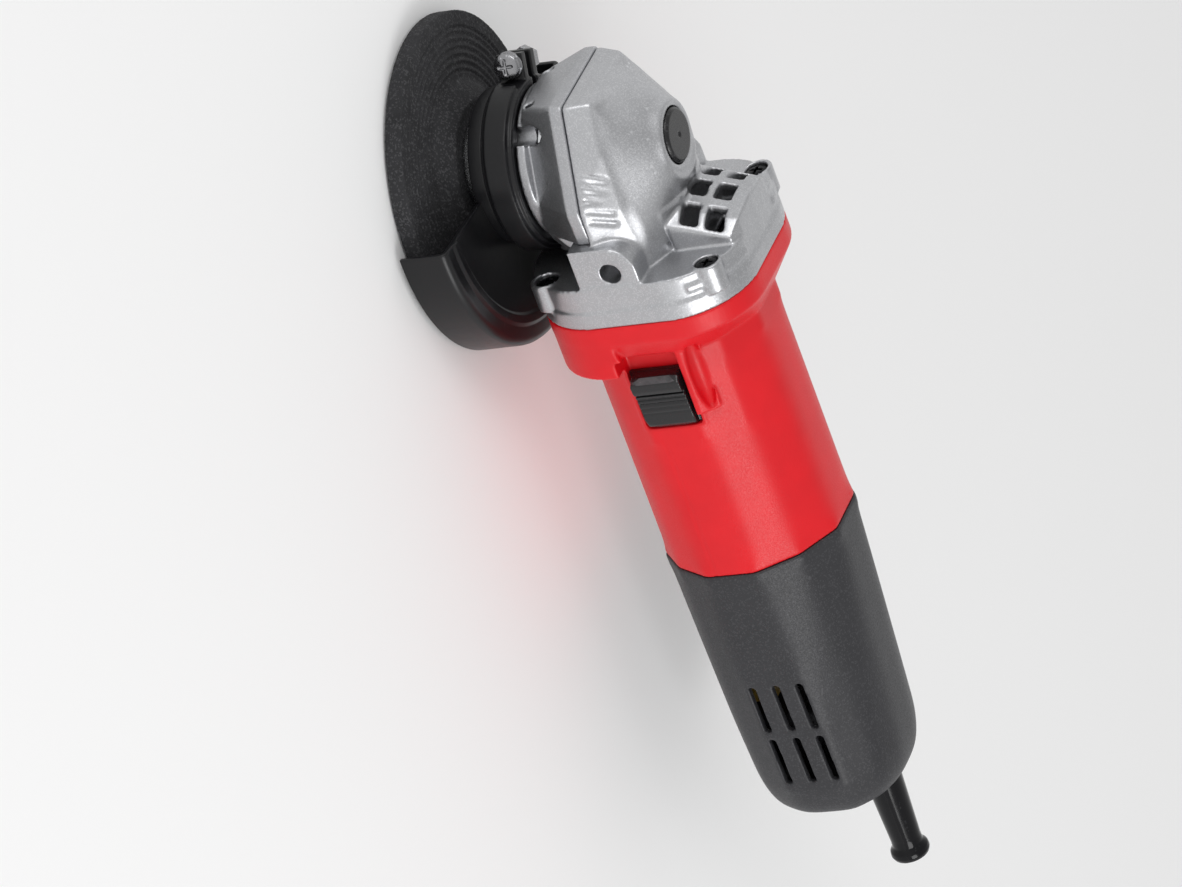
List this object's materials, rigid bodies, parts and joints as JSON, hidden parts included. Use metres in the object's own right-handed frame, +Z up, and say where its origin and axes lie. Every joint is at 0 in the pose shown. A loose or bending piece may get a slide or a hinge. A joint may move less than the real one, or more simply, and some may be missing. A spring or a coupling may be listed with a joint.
{
  "type": "angle grinder",
  "caption": "Hand-held angle grinder with depressed-centre grinding disc, half guard, slide switch, spindle lock, louvred rear handle and cord sleeve.",
  "frame": {"origin": "bottom centre of the bounding box of the whole tool; the lowest plane is the front face of the grinding disc", "axes": "+X forward along the motor axis from the rear handle to the gear head, +Y to the tool's left (switch side), +Z up along the spindle axis, away from the disc"},
  "size_m": [0.325, 0.114, 0.0942],
  "materials": {
    "housing_red": "satin",
    "handle_dark": "fine texture",
    "die_cast": "satin cast",
    "die_cast_lower": "satin cast",
    "screw_black": "black oxide",
    "screw_bright": "zinc plated",
    "black_plastic": "moulded",
    "lamination": "stacked sheet",
    "winding": "enamelled copper",
    "steel": "ground",
    "gear_steel": "cut teeth",
    "brass": "sheet",
    "carbon": "pressed carbon",
    "capacitor_yellow": "moulded",
    "sleeve_rubber": "glossy rubber",
    "boot_rubber": "moulded",
    "lead_wire": "insulation",
    "abrasive": "bonded grit",
    "copper": "turned copper",
    "guard_black": "gloss black paint",
    "button_black": "satin",
    "switch_black": "moulded"
  },
  "bodies": {
    "housing": {"motor_housing": "housing_red", "rear_handle": "handle_dark", "gear_housing": "die_cast", "bearing_flange": "die_cast_lower", "gearcase_screws": "screw_black", "flange_screws": "screw_black", "handle_screw": "screw_black", "fan_baffle": "black_plastic", "stator_core": "lamination", "stator_coils": "winding", "stator_screws": "steel", "brush_holder_top": "brass", "brush_holder_bottom": "brass", "brush_spring_top": "steel", "brush_spring_bottom": "steel", "switch_block": "black_plastic", "capacitor": "capacitor_yellow", "cord_clamp": "black_plastic", "clamp_screws": "screw_black", "cord_sleeve": "sleeve_rubber", "leads": "lead_wire", "spindle_bearing_outer": "steel", "bearing_retainer": "steel", "retainer_screws": "screw_black", "spindle_bush": "brass", "front_bearing_outer": "steel", "rear_bearing_outer": "steel", "rear_bearing_boot": "boot_rubber", "lock_spring": "steel"},
    "spindle_set": {"spindle": "steel", "bevel_gear": "gear_steel", "gear_hub": "gear_steel", "inner_flange": "steel", "disc_nut": "steel", "grinding_disc": "abrasive", "spindle_bearing_inner": "steel"},
    "spindle_balls": {"spindle_cage": "steel"},
    "armature": {"armature_shaft": "steel", "armature_core": "lamination", "armature_windings": "winding", "commutator": "copper", "fan": "black_plastic", "pinion": "gear_steel", "pinion_spacer": "steel", "pinion_nut": "steel", "front_bearing_inner": "steel", "rear_bearing_inner": "steel"},
    "front_balls": {"front_cage": "steel"},
    "rear_balls": {"rear_cage": "steel"},
    "guard_set": {"guard": "guard_black", "guard_band": "guard_black", "guard_screw": "screw_bright", "guard_nut": "screw_bright"},
    "lock_set": {"lock_button": "button_black", "lock_pin": "steel"},
    "switch_set": {"switch_button": "switch_black", "switch_rod": "black_plastic"},
    "brush_upper": {"brush_top": "carbon"},
    "brush_lower": {"brush_bottom": "carbon"}
  },
  "joints": [
    {"name": "spindle_spin", "type": "hinge", "parent": "housing", "child": "spindle_set", "pos_m": [0.1125, 0, 0.0579], "axis": [0, 0, 1], "continuous": true},
    {"name": "spindle_cage_spin", "type": "hinge", "parent": "housing", "child": "spindle_balls", "pos_m": [0.1125, 0, 0.0579], "axis": [0, 0, 1], "continuous": true},
    {"name": "armature_spin", "type": "hinge", "parent": "housing", "child": "armature", "pos_m": [0.1125, 0, 0.0579], "axis": [1, 0, 0], "continuous": true},
    {"name": "front_cage_spin", "type": "hinge", "parent": "housing", "child": "front_balls", "pos_m": [0.1125, 0, 0.0579], "axis": [1, 0, 0], "continuous": true},
    {"name": "rear_cage_spin", "type": "hinge", "parent": "housing", "child": "rear_balls", "pos_m": [0.1125, 0, 0.0579], "axis": [1, 0, 0], "continuous": true},
    {"name": "guard_swivel", "type": "hinge", "parent": "housing", "child": "guard_set", "pos_m": [0.1125, 0, 0.0579], "axis": [0, 0, 1], "range_deg": [-75, 75]},
    {"name": "spindle_lock", "type": "slide", "parent": "housing", "child": "lock_set", "axis": [0, 0, -1], "range_m": [0, 0.0032], "stiffness_N_per_m": 800, "springref_m": -0.003, "deforming": ["lock_spring"]},
    {"name": "switch_slide", "type": "slide", "parent": "housing", "child": "switch_set", "axis": [1, 0, 0], "range_m": [0, 0.007]},
    {"name": "brush_upper_slide", "type": "slide", "parent": "housing", "child": "brush_upper", "axis": [0, 0, 1], "range_m": [0, 0.002], "stiffness_N_per_m": 300, "springref_m": -0.008, "deforming": ["brush_spring_top"]},
    {"name": "brush_lower_slide", "type": "slide", "parent": "housing", "child": "brush_lower", "axis": [0, 0, -1], "range_m": [0, 0.002], "stiffness_N_per_m": 300, "springref_m": -0.008, "deforming": ["brush_spring_bottom"]}
  ],
  "couplings": [
    {"joint": "armature_spin", "follows": "spindle_spin", "ratio": -3.0769},
    {"joint": "spindle_cage_spin", "follows": "spindle_spin", "ratio": 0.3682},
    {"joint": "front_cage_spin", "follows": "spindle_spin", "ratio": -1.1165},
    {"joint": "rear_cage_spin", "follows": "spindle_spin", "ratio": -1.1361}
  ]
}
